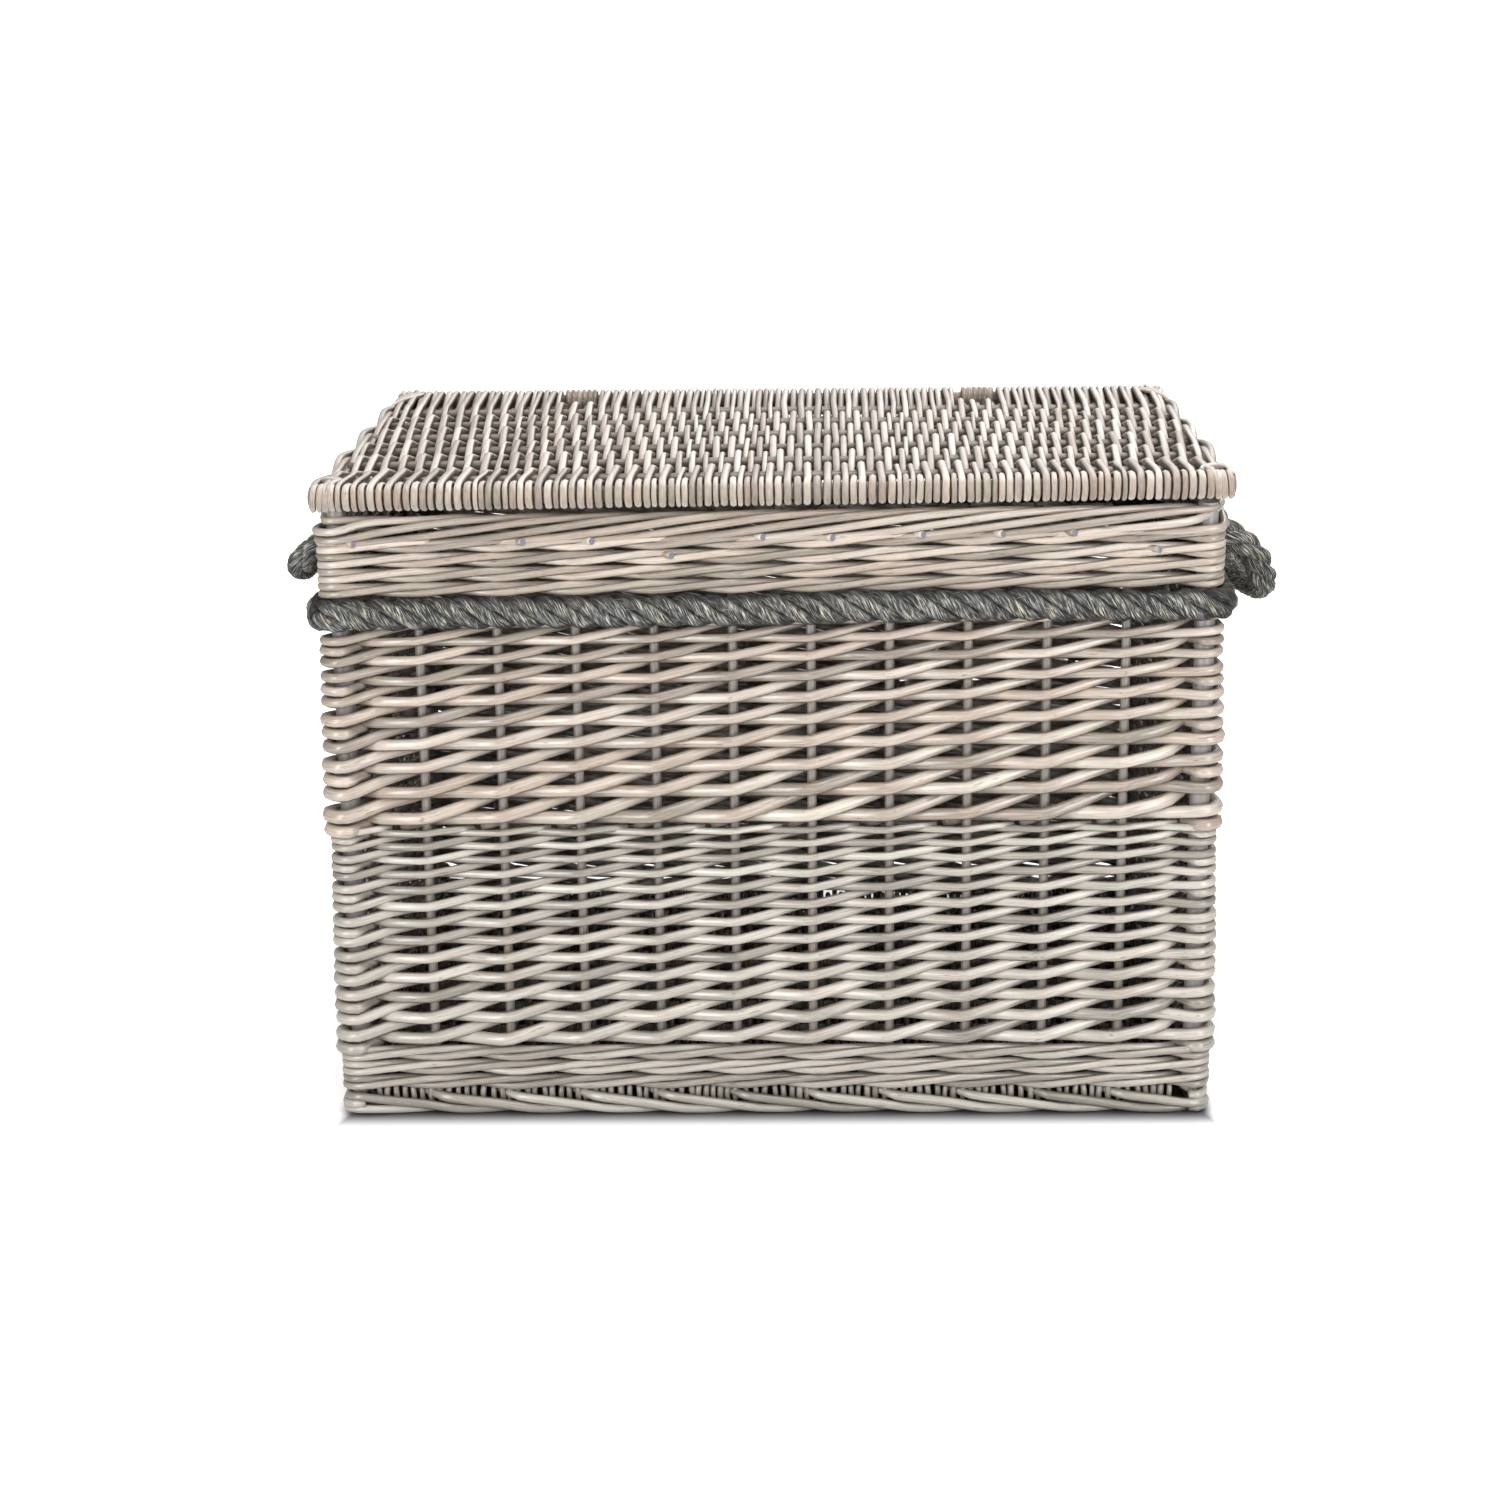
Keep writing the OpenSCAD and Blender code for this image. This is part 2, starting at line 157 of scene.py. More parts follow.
def ringPoint(s, off, z):
    # Stop s counts round the body; off is the distance out from the line of the stakes
    s = s % stops
    first, bays, corner, along, out = [w for w in walls if w[0] <= s][-1]
    length = 2 * (postX if along[0] else postY)
    pitch = length / bays
    arc = ring["postArc"]
    u = s - first
    if off > 0:
        # The front left corner stands out a little
        off += ring["bulge"] * math.exp(-(min(s, stops - s) / ring["bulgeReach"]) ** 2)
    r = cornerR + off
    if u < arc or bays - u < arc:
        turn = 45 * u / arc - 45 if u < arc else 45 - 45 * (bays - u) / arc
        at = 0 if u < arc else length
        a = math.radians(turn)
        dx = out[0] * math.cos(a) + along[0] * math.sin(a)
        dy = out[1] * math.cos(a) + along[1] * math.sin(a)
        return (corner[0] + along[0] * at + dx * r, corner[1] + along[1] * at + dy * r, z)
    if u < 1:
        at = pitch * (u - arc) / (1 - arc)
    elif bays - u < 1:
        at = length - pitch * (bays - u - arc) / (1 - arc)
    else:
        at = pitch * u
    return (corner[0] + along[0] * at + out[0] * r, corner[1] + along[1] * at + out[1] * r, z)


def isPost(s):
    return s % stops in posts


# Rods as round tubes with a tone each

makerData = bpy.data.curves.new("rodMaker", "CURVE")
makerData.dimensions = "3D"
makerData.bevel_depth = 1
makerData.use_fill_caps = True
maker = bpy.data.objects.new("rodMaker", makerData)
bpy.context.scene.collection.objects.link(maker)


def newMesh():
    bm = bmesh.new()
    bm.faces.layers.float.new("tone")
    return bm


def addRod(bm, line, sides=8, tone=0.5, start=0.0):
    # line is rows of x, y, z and radius
    line = np.array(line, dtype=float)
    front = np.clip(0.5 - line[:, 1] / (2 * stakeY), 0, 1)
    line[:, 2] += lean["rise"] * front * line[:, 0] / postX * line[:, 2] / lean["height"]
    makerData.bevel_resolution = (sides - 4) // 2
    makerData.splines.clear()
    spline = makerData.splines.new("POLY")
    spline.points.add(len(line) - 1)
    place = np.ones((len(line), 4))
    place[:, :3] = line[:, :3] * mm
    spline.points.foreach_set("co", place.ravel())
    spline.points.foreach_set("radius", line[:, 3] * mm)
    mesh = bpy.data.meshes.new_from_object(maker)
    length = float(np.linalg.norm(np.diff(line[:, :3], axis=0), axis=1).sum())
    uv = np.empty(len(mesh.loops) * 2)
    mesh.uv_layers[0].data.foreach_get("uv", uv)
    uv[0::2] = uv[0::2] * length * mm + start
    mesh.uv_layers[0].data.foreach_set("uv", uv)
    corners = np.empty(len(mesh.polygons), dtype=int)
    mesh.polygons.foreach_get("loop_total", corners)
    # Only the caps at a rod's ends are triangles
    tones = np.where(corners == 3, cutTone, tone)
    layer = mesh.attributes.new("tone", "FLOAT", "FACE")
    layer.data.foreach_set("value", tones)
    mesh.polygons.foreach_set("use_smooth", corners != 3)
    bm.from_mesh(mesh)
    bpy.data.meshes.remove(mesh)


def grain(rng):
    # Where on the grain a rod begins, so that no two look alike
    return rng.uniform(0, 50)


def smoothLine(points, step=9.5):
    # Centripetal curve through rows of x, y, z, radius
    p = np.asarray(points, dtype=float)
    p = np.vstack([2 * p[0] - p[1], p, 2 * p[-1] - p[-2]])
    gaps = np.linalg.norm(np.diff(p[:, :3], axis=0), axis=1) ** 0.5 + 1e-9
    t = np.concatenate([[0], np.cumsum(gaps)])
    rows = []
    for i in range(1, len(p) - 2):
        n = max(2, round(gaps[i] ** 2 / step))
        x = np.linspace(t[i], t[i + 1], n, endpoint=False)[:, None]
        a1 = ((t[i] - x) * p[i - 1] + (x - t[i - 1]) * p[i]) / (t[i] - t[i - 1])
        a2 = ((t[i + 1] - x) * p[i] + (x - t[i]) * p[i + 1]) / (t[i + 1] - t[i])
        a3 = ((t[i + 2] - x) * p[i + 1] + (x - t[i + 1]) * p[i + 2]) / (t[i + 2] - t[i + 1])
        b1 = ((t[i + 1] - x) * a1 + (x - t[i - 1]) * a2) / (t[i + 1] - t[i - 1])
        b2 = ((t[i + 2] - x) * a2 + (x - t[i]) * a3) / (t[i + 2] - t[i])
        rows.append(((t[i + 1] - x) * b1 + (x - t[i]) * b2) / (t[i + 1] - t[i]))
    rows.append(p[-2][None, :])
    return np.vstack(rows)


def reachAlong(line):
    # The distance along a line to each of its points
    return np.concatenate([[0], np.cumsum(np.linalg.norm(np.diff(line[:, :3], axis=0), axis=1))])


def evenly(line, step):
    # The same polyline with a point every step
    line = np.asarray(line, dtype=float)
    reach = reachAlong(line)
    n = max(2, round(reach[-1] / step) + 1)
    at = np.linspace(0, reach[-1], n)
    return np.stack([np.interp(at, reach, line[:, i]) for i in range(line.shape[1])], axis=1)


def shapePiece(name, bm, material, body, nodes=()):
    bmesh.ops.remove_doubles(bm, verts=bm.verts, dist=1e-6)
    mesh = bpy.data.meshes.new(name)
    bm.to_mesh(mesh)
    bm.free()
    mesh.materials.clear()
    mesh.materials.append(material)
    piece = bpy.data.objects.new(name, mesh)
    bpy.context.scene.collection.objects.link(piece)
    if body:
        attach(piece, body)
    if nodes:
        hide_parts(*nodes)
    print(name, len(mesh.polygons), "faces")
    return piece


# Materials

def nodeTree(name):
    material = bpy.data.materials.new(name)
    material.use_nodes = True
    tree = material.node_tree
    return material, tree, tree.nodes["Principled BSDF"]


def addNode(tree, kind, **inputs):
    node = tree.nodes.new("ShaderNode" + kind)
    for key, value in inputs.items():
        node.inputs[key].default_value = value
    return node


def mathNode(tree, operation, a, b=None, clamp=False):
    node = tree.nodes.new("ShaderNodeMath")
    node.operation = operation
    node.use_clamp = clamp
    for i, value in enumerate((a, b)):
        if value is None:
            continue
        if isinstance(value, (int, float)):
            node.inputs[i].default_value = value
        else:
            tree.links.new(value, node.inputs[i])
    return node.outputs[0]


def mixColor(tree, blend, fac, a, b):
    node = tree.nodes.new("ShaderNodeMix")
    node.data_type = "RGBA"
    node.blend_type = blend
    for socket, value in ((node.inputs[0], fac), (node.inputs[6], a), (node.inputs[7], b)):
        if isinstance(value, (int, float)):
            socket.default_value = value
        elif isinstance(value, tuple):
            socket.default_value = value + (1,)
        else:
            tree.links.new(value, socket)
    return node.outputs[2]


def ramp(tree, value, marks):
    node = tree.nodes.new("ShaderNodeValToRGB")
    elements = node.color_ramp.elements
    while len(elements) < len(marks):
        elements.new(0.5)
    for element, (at, color) in zip(elements, marks):
        element.position = at
        element.color = tuple(color) + (1,)
    tree.links.new(value, node.inputs[0])
    return node.outputs[0]


def roundVector(tree, around, along, twist=0):
    # The rod's own skin: round its girth without a seam, and along its length
    uv = tree.nodes.new("ShaderNodeUVMap")
    uv.uv_map = "UVMap"
    split = tree.nodes.new("ShaderNodeSeparateXYZ")
    tree.links.new(uv.outputs[0], split.inputs[0])
    turn = mathNode(tree, "MULTIPLY", split.outputs[1], 2 * math.pi)
    if twist:
        turn = mathNode(tree, "ADD", turn, mathNode(tree, "MULTIPLY", split.outputs[0], twist))
    join = tree.nodes.new("ShaderNodeCombineXYZ")
    tree.links.new(mathNode(tree, "MULTIPLY", mathNode(tree, "COSINE", turn), around), join.inputs[0])
    tree.links.new(mathNode(tree, "MULTIPLY", mathNode(tree, "SINE", turn), around), join.inputs[1])
    tree.links.new(mathNode(tree, "MULTIPLY", split.outputs[0], along), join.inputs[2])
    return join.outputs[0]


def noiseFac(tree, vector, scale, detail=3, rough=0.55):
    node = addNode(tree, "TexNoise", Scale=scale, Detail=detail, Roughness=rough)
    tree.links.new(vector, node.inputs["Vector"])
    return node.outputs["Fac"]


def objectVector(tree, stretch=(1, 1, 1)):
    place = tree.nodes.new("ShaderNodeTexCoord")
    scale = tree.nodes.new("ShaderNodeVectorMath")
    scale.operation = "MULTIPLY"
    scale.inputs[1].default_value = stretch
    tree.links.new(place.outputs["Object"], scale.inputs[0])
    return scale.outputs[0]


def beyondSides(tree, halfX, halfY, endStretch=1):
    # How far a point is outside a rectangle round the middle, and how high it is
    at = tree.nodes.new("ShaderNodeSeparateXYZ")
    tree.links.new(objectVector(tree), at.inputs[0])
    across = mathNode(tree, "SUBTRACT", mathNode(tree, "ABSOLUTE", at.outputs[0]), halfX)
    deep = mathNode(tree, "SUBTRACT", mathNode(tree, "ABSOLUTE", at.outputs[1]), halfY)
    return mathNode(tree, "MAXIMUM", mathNode(tree, "MULTIPLY", across, endStretch), deep), at.outputs[2]


def creaseStainAndShade(tree, color, lying):
    # Rods are darker where they press together, partly stain and partly painted shade. Painted shade also makes
    # the inner side of a wall duller and the front-facing side of the lid darker, and a wall's rods are a
    # little darker towards the bottom
    place = tree.nodes.new("ShaderNodeTexCoord")
    facing = tree.nodes.new("ShaderNodeSeparateXYZ")
    tree.links.new(place.outputs["Normal"], facing.inputs[0])
    if lying == "wall":
        # Partly stain, partly painted shade: a wall's rods are darker underneath and a little on top, where
        # they meet
        value = mathNode(tree, "ADD", mathNode(tree, "MULTIPLY", facing.outputs[2], 0.5), 0.5)
        stainAndShade = ramp(tree, value, ((0.0, (0.24, 0.22, 0.21)), (0.07, (0.55, 0.52, 0.50)), (0.18, plain),
                                   (0.95, plain), (1.0, (0.70, 0.68, 0.66))))
        out, height = beyondSides(tree, float(stakeX) * mm, float(stakeY) * mm)
        out = mathNode(tree, "ADD", mathNode(tree, "MULTIPLY", out, 90), 1.0, True)
        # Painted shade: the inner side of a wall is darker
        innerShade = ramp(tree, out, ((0.05, (0.30, 0.28, 0.27)), (0.62, plain)))
        color = mixColor(tree, "MULTIPLY", 1.0, color, innerShade)
        # A wall's rods are a little darker towards the bottom
        low = ramp(tree, mathNode(tree, "MULTIPLY", height, 10, True),
                   ((0.50, (0.88, 0.88, 0.88)), (0.68, plain)))
        color = mixColor(tree, "MULTIPLY", 1.0, color, low)
    else:
        # Partly stain, partly painted shade: a lid's rods are darker at their sides, where they meet
        value = mathNode(tree, "ABSOLUTE", facing.outputs[0])
        stainAndShade = ramp(tree, value, ((0.0, plain), (0.70, plain), (0.88, (0.48, 0.45, 0.43)),
                                   (1.0, (0.12, 0.11, 0.10))))
        # The wraps over the front stick are browner, and the front-facing side of the lid is painted darker as
        # painted shade
        frontFacingShade = ramp(tree, mathNode(tree, "MULTIPLY", facing.outputs[1], -1.0, True),
                       ((0.35, plain), (0.85, (0.47, 0.43, 0.385))))
        color = mixColor(tree, "MULTIPLY", 1.0, color, frontFacingShade)
    return mixColor(tree, "MULTIPLY", 1.0, color, stainAndShade)


def willow(name, tones, rough=0.27, rods=True, hueJitter=0.5, coat=0.12, lying="wall"):
    material, tree, shader = nodeTree(name)
    if rods:
        streakAt = roundVector(tree, 1.1, 14)
        blotchAt = roundVector(tree, 0.5, 22)
        wrinkleAt = roundVector(tree, 0.35, 420)
        tone = tree.nodes.new("ShaderNodeAttribute")
        tone.attribute_name = "tone"
        toneValue = tone.outputs["Fac"]
    else:
        streakAt = objectVector(tree, (260, 260, 14))
        blotchAt = objectVector(tree, (40, 40, 22))
        wrinkleAt = objectVector(tree, (60, 60, 420))
        toneValue = noiseFac(tree, objectVector(tree, (9, 9, 1)), 1.0, 1)
    streak = noiseFac(tree, streakAt, 2.2, 4, 0.6)
    blotch = noiseFac(tree, blotchAt, 1.0, 3, 0.6)
    mixed = mathNode(tree, "ADD", mathNode(tree, "MULTIPLY", toneValue, 0.40),
                     mathNode(tree, "MULTIPLY", streak, 0.38))
    mixed = mathNode(tree, "ADD", mixed, mathNode(tree, "MULTIPLY", blotch, 0.38))
    color = ramp(tree, mixed, ((0.26, tones["dark"]), (0.56, tones["mid"]), (0.86, tones["light"])))
    # Pinkish and greenish rods among the grey ones
    warm = ramp(tree, mathNode(tree, "FRACT", mathNode(tree, "MULTIPLY", toneValue, 7.3)),
                ((0.0, (0.97, 1.0, 0.95)), (0.5, plain), (1.0, (1.05, 0.98, 0.93))))
    color = mixColor(tree, "MULTIPLY", hueJitter, color, warm)
    knots = noiseFac(tree, blotchAt, 3.6, 2, 0.5)
    spot = ramp(tree, knots, ((0.0, (0.45, 0.40, 0.36)), (0.29, (0.55, 0.50, 0.46)), (0.33, plain)))
    color = mixColor(tree, "MULTIPLY", 0.75, color, spot)
    if rods:
        color = creaseStainAndShade(tree, color, lying)
        cut = mathNode(tree, "LESS_THAN", toneValue, cutTone / 2)
        color = mixColor(tree, "MIX", cut, color, (0.16, 0.165, 0.20))
    tree.links.new(color, shader.inputs["Base Color"])
    roughness = mathNode(tree, "ADD", mathNode(tree, "MULTIPLY", streak, 0.24), rough - 0.12)
    tree.links.new(roughness, shader.inputs["Roughness"])
    shader.inputs["Specular IOR Level"].default_value = 0.62
    shader.inputs["Coat Weight"].default_value = coat
    shader.inputs["Coat Roughness"].default_value = 0.24
    wrinkle = noiseFac(tree, wrinkleAt, 1.0, 2, 0.5)
    height = mathNode(tree, "ADD", streak, mathNode(tree, "MULTIPLY", wrinkle, 0.30))
    bump = addNode(tree, "Bump", Strength=0.32, Distance=0.0006)
    tree.links.new(height, bump.inputs["Height"])
    tree.links.new(bump.outputs[0], shader.inputs["Normal"])
    return material


def ropeMaterial(name):
    material, tree, shader = nodeTree(name)
    coarse = noiseFac(tree, roundVector(tree, 2.6, 60, ropeTwist), 1.6, 2, 0.6)
    fine = noiseFac(tree, roundVector(tree, 4.6, 95, ropeTwist), 2.0, 2, 0.6)
    patch = noiseFac(tree, roundVector(tree, 0.8, 60), 1.0, 2, 0.5)
    tone = tree.nodes.new("ShaderNodeAttribute")
    tone.attribute_name = "tone"
    mixed = mathNode(tree, "ADD", mathNode(tree, "MULTIPLY", coarse, 0.42),
                     mathNode(tree, "MULTIPLY", fine, 0.58))
    color = ramp(tree, mixed, ((0.41, (0.008, 0.009, 0.010)), (0.47, (0.030, 0.031, 0.031)),
                               (0.53, (0.095, 0.094, 0.087)), (0.60, (0.47, 0.455, 0.40))))
    shift = ramp(tree, patch, ((0.35, (0.80, 0.85, 0.92)), (0.5, plain), (0.66, (1.18, 1.12, 0.98))))
    color = mixColor(tree, "MULTIPLY", 0.8, color, shift)
    # Painted shade darkens the grooves between the strands of the band, and the rope close to the wall
    out = beyondSides(tree, float(stakeX) * mm, float(stakeY) * mm)[0]
    grooveShade = ramp(tree, mathNode(tree, "MULTIPLY", out, 50, True),
                  ((0.0, (0.24, 0.24, 0.24)), (0.74, (0.24, 0.24, 0.24)), (0.92, plain)))
    color = mixColor(tree, "MULTIPLY", 1.0, color, grooveShade)
    straw = mathNode(tree, "GREATER_THAN", tone.outputs["Fac"], strawTone - 0.1)
    color = mixColor(tree, "MIX", straw, color, (0.42, 0.38, 0.30))
    tree.links.new(color, shader.inputs["Base Color"])
    shader.inputs["Roughness"].default_value = 0.7
    shader.inputs["Specular IOR Level"].default_value = 0.35
    bump = addNode(tree, "Bump", Strength=1.0, Distance=0.0016)
    tree.links.new(mixed, bump.inputs["Height"])
    tree.links.new(bump.outputs[0], shader.inputs["Normal"])
    return material


lowerWillow = willow("lowerWillow", willowTones["lower"])
upperWillow = willow("upperWillow", willowTones["upper"])
hingeWillow = willow("hingeWillow", willowTones["hinge"], lying="lid")
lidWillow = willow("lidWillow", willowTones["lid"], rough=0.42, coat=0.05, lying="lid", hueJitter=0.9)
innerWillow = willow("innerWillow", willowTones["inner"], rough=0.42, coat=0.05, lying="lid")
stakeWillow = willow("stakeWillow", willowTones["stake"], rods=False)
postWillow = willow("postWillow", willowTones["post"], rods=False, rough=0.36)
darkRope = ropeMaterial("darkRope")
print("materials made")


# Woven walls

def waver(s, z, amount):
    # Slow rise and fall of the rows, shared by neighbouring rods
    a = 2 * math.pi * (s % stops) / stops
    return amount * noise.noise(Vector((6 * math.cos(a), 6 * math.sin(a), z * 0.025)))


def frenchRand(name, setup, z0, z1, material, nodes):
    rng = random.Random(setup["seed"])
    n = setup["strokes"]
    arc = ring["postArc"]
    bend = ring["bend"]
    radii = np.linspace(setup["butt"], setup["tip"], n)
    scale = (z1 - z0) / (2 * radii.sum())
    heights = z0 + (np.cumsum(2 * radii) - radii) * scale
    radii = radii * min(scale, 1.0) * setup["fill"]
    bm = newMesh()
    for j in range(stops):
        size = 1 + rng.uniform(-0.09, 0.07)
        tone = rng.random()
        points = []
        for k in range(n):
            s = j + k
            r = radii[k] * size * (backFill if posts[2] < s % stops < posts[3] else 1)
            side = 1 if k % 2 else -1
            # A rod climbs behind a stake and runs level in front of the next
            climb = 0 if side > 0 else r * setup["climb"]
            z = heights[k] + climb + waver(s, heights[k], setup["waver"]) + rng.uniform(-0.35, 0.35)
            reach = stakeR + r + rng.uniform(-0.2, 0.5)
            steep = bend * r * (2 + setup["climb"])
            level = bend * r * (2 - setup["climb"])
            if isPost(s):
                if side > 0:
                    # Wraps crowd together and leave room for the packing rod between every second pair
                    z += r * (0.35 if k % 4 == 1 else -0.35)
                    for ds in (-arc, 0, arc):
                        points.append((*ringPoint(s + ds, reach, z + ds * 3), r * 1.06))
                else:
                    points.append((*ringPoint(s, -(2 * cornerR + reach), z), r))
            else:
                # The bend is sharpest at the stake, so a rod looks straight between two of them
                before, after = (level, steep) if side > 0 else (steep, level)
                points.append((*ringPoint(s - bend, side * reach * 0.90, z - before), r))
                points.append((*ringPoint(s, side * reach, z), r))
                points.append((*ringPoint(s + bend, side * reach * 0.90, z + after), r))
            if k < n - 1:
                nextZ = heights[k + 1] + (r * setup["climb"] if side > 0 else 0)
                nextZ += waver(s + 1, z, setup["waver"])
                zMid = (z + nextZ) / 2 - (0.4 if side > 0 else -0.2)
                points.append((*ringPoint(s + 0.5, rng.uniform(-0.5, 0.5), zMid), r))
            else:
                points.append((*ringPoint(s + 0.6, -3, z + 1.5), r * 0.9))
        points.insert(0, (*ringPoint(j - 0.3, -stakeR - radii[0] - 1, heights[0] - 0.5), radii[0] * size))
        addRod(bm, smoothLine(points), 8, tone, grain(rng))
    # Short packing strands round the posts
    for post in posts:
        for k in range(0, n, 4):
            r = radii[k] * 0.97
            z = heights[k] + rng.uniform(-0.4, 0.4)
            reach = stakeR + r + 0.4
            tone = rng.random()
            points = [(*ringPoint(post - 0.36, -9, z - 0.6), r * 0.9),
                      (*ringPoint(post - 0.26, -3.5, z - 0.3), r)]
            for ds in (-arc, 0, arc):
                points.append((*ringPoint(post + ds, reach, z), r))
            points += [(*ringPoint(post + 0.26, -3.5, z + 0.3), r),
                       (*ringPoint(post + 0.36, -9, z + 0.6), r * 0.9)]
            addRod(bm, smoothLine(points, 5), 8, tone, grain(rng))
    shapePiece(name, bm, material, "basket", nodes)


def wale(name, setup, z0, z1, material, node):
    rng = random.Random(setup["seed"])
    roundH = (z1 - z0) / setup["rounds"]
    r = setup["rod"]
    arc = ring["postArc"]
    lift = waleSetup["lift"]
    bm = newMesh()
    for m in range(3):
        points = []
        begin = 0
        for i in range(stops * setup["rounds"]):
            s = waleSetup["start"] + i
            lap, inLap = divmod(i, stops)
            level = lap + max(0, inLap - (stops - 4)) / 4 * (lap < setup["rounds"] - 1)
            phase = (i + m) % 3
            z = z0 + roundH * (level + lift[phase]) + waver(s, z0, waleSetup["waver"])
            side = -1 if phase == 2 else 1
            reach = stakeR + r + rng.uniform(-0.2, 0.4)
            if isPost(s):
                if side > 0:
                    for ds in (-arc, 0, arc):
                        points.append((*ringPoint(s + ds, reach, z + ds * 5), r))
                else:
                    points.append((*ringPoint(s, -(2 * cornerR + reach), z), r))
            else:
                points.append((*ringPoint(s, side * reach, z), r))
            nextPhase = (i + m + 1) % 3
            zMid = z + (lift[nextPhase] - lift[phase]) * roundH / 2
            if phase == 0:
                points.append((*ringPoint(s + 0.5, reach + 0.8, zMid), r))
            else:
                points.append((*ringPoint(s + 0.5, 0, zMid), r))
            # Each rod runs about a dozen stakes before the next takes over, behind the wall
            if phase == 2 and i - begin > waleSetup["run"] and rng.random() < 0.5 and not isPost(s):
                addRod(bm, smoothLine(points), 8, rng.random(), grain(rng))
                begin = i
                points = points[-2:]
        addRod(bm, smoothLine(points), 8, rng.random(), grain(rng))
    shapePiece(name, bm, material, "basket", (node,))


lowLow, lowHigh = boxMm("front_lower_siding")
upLow = boxMm("front_upper_siding")[0]
ropeLow, ropeHigh = boxMm("rope_band")
frenchRand("lowerSidingRods", lowerSiding, lowLow[2] - 5.5, lowHigh[2], lowerWillow,
           ("front_lower_siding", "back_lower_siding", "left_lower_siding", "right_lower_siding",
            "lower_corner_weave"))
# The upper rods go on a little way behind the rope
frenchRand("upperSidingRods", upperSiding, upLow[2] - 5, ropeLow[2] + 7, upperWillow,
           ("front_upper_siding", "back_upper_siding", "left_upper_siding", "right_upper_siding",
            "upper_corner_weave"))
waleLow, waleHigh = boxMm("lower_wale")
wale("lowerWaleRods", lowerWale, waleLow[2], waleHigh[2], lowerWillow, "lower_wale")
waleLow, waleHigh = boxMm("upper_wale")
wale("upperWaleRods", upperWale, waleLow[2] - 2, waleHigh[2] + 1, upperWillow, "upper_wale")
print("walls woven")


# Borders

def border(name, setup, path, material, node, tips=False):
    # A path is rows of stops passed, distance out, height and size of the rod
    arc = ring["postArc"]
    rng = random.Random(setup["seed"])
    bm = newMesh()
    for j in range(stops):
        r = setup["rod"] * (1 + rng.uniform(-0.08, 0.06))
        tone = rng.random()
        points = []
        for ds, off, z, size in path:
            s = j + ds
            if isPost(round(s)) and abs(s - round(s)) < 0.3 and off > 0:
                for extra in (-arc, 0, arc):
                    points.append((*ringPoint(round(s) + extra, off, z + extra * 3), r * size))
            else:
                points.append((*ringPoint(s, off, z + rng.uniform(-0.3, 0.3)), r * size))
        addRod(bm, smoothLine(points), 10, tone, grain(rng))
        chance = rng.random() if tips else 1
        if chance < stakeTips["share"]:
            s = j + stakeTips["at"] + rng.uniform(-0.12, 0.12)
            z = rim - stakeTips["below"] + rng.uniform(-1.0, 1.0)
            if chance < stakeTips["lowShare"]:
                z -= stakeTips["low"]
            r = stakeTips["rod"]
            line = [(*ringPoint(s - 0.25, 0, z - 1.5), r), (*ringPoint(s - 0.1, 6, z - 0.5), r),
                    (*ringPoint(s, stakeTips["out"], z), r - 0.1)]
            addRod(bm, smoothLine(line, 4), 8, rng.random(), grain(rng))
    shapePiece(name, bm, material, "basket", (node,))


rim = boxMm("top_border")[1][2]
topPath = (
    (-0.3, -2, rim - 23, 0.9), (0.1, 5, rim - 20.5, 1), (0.8, 7.6, rim - 17, 1), (1.7, 8.8, rim - 10.2, 1),
    (2.5, 8.2, rim - 4.2, 1), (3.1, 2, rim - 3.1, 1), (3.7, -6, rim - 4.2, 1), (4.3, -9, rim - 9, 0.95),
    (4.7, -8.5, rim - 14, 0.8),
)
border("topBorderRods", topBorder, topPath, upperWillow, "top_border", tips=True)
foot = boxMm("foot_border")[1][2]
footPath = (
    (-0.25, -7, foot - 3, 0.85), (-0.06, -2, foot - 5.5, 0.95), (0.10, 4.5, foot - 6.6, 1),
    (0.45, 6.6, foot - 8.8, 1), (0.85, 6.6, foot - 12.2, 1), (1.25, 6.2, 5.2, 0.95), (1.7, 3, 4.0, 0.95),
    (2.1, -3, 3.9, 0.9), (2.5, -8, 5, 0.8),
)
border("footBorderRods", footBorder, footPath, lowerWillow, "foot_border")
print("borders rolled")


# Base

def base():
    rng = random.Random(baseWeave["seed"])
    low, high = boxMm("base_weave")
    stickLow, stickHigh = boxMm("base_sticks")
    zMid = (stickLow[2] + stickHigh[2]) / 2
    stickR = (stickHigh[2] - stickLow[2]) / 2
    rows = baseWeave["sticks"]
    pitch = (high[1] - low[1]) / rows
    bm = newMesh()
    count = round((high[0] - low[0]) / baseWeave["pitch"])
    for i in range(count):
        x = low[0] + (i + 0.5) * (high[0] - low[0]) / count
        r = baseWeave["rod"] * (1 + rng.uniform(-0.1, 0.15))
        points = [(x, low[1] - 5, zMid + (1 if i % 2 else -1) * 3, r)]
        for k in range(rows):
            side = 1 if (i + k) % 2 else -1
            points.append((x + rng.uniform(-0.5, 0.5), low[1] + (k + 0.5) * pitch,
                           zMid + side * (stickR + r), r))
            if k < rows - 1:
                points.append((x, low[1] + (k + 1) * pitch, zMid, r))
        points.append((x, high[1] + 5, zMid + (1 if (i + rows) % 2 else -1) * 3, r))
        addRod(bm, smoothLine(points, 13), 6, rng.random(), grain(rng))
    # Their ends, turned down round the outer sticks and seen above the foot
    margin = baseWeave["margin"]
    for side in (-1, 1):
        x = -postX + margin
        while x < postX - margin:
            y = side * (stakeY - 0.5)
            r = rng.uniform(1.9, 2.5)
            line = [(x, y - side * 7, foot + 2, r), (x, y, foot - 1, r),
                    (x + rng.uniform(-0.8, 0.8), y, foot - 8, r), (x, y - side * 3, foot - 13, r)]
            addRod(bm, smoothLine(line, 5), 6, rng.uniform(0, 0.6), grain(rng))
            x += rng.uniform(5.2, 8.0)
    shapePiece("baseRods", bm, lowerWillow, "basket", ("base_weave",))


base()
print("base woven")


# Lid

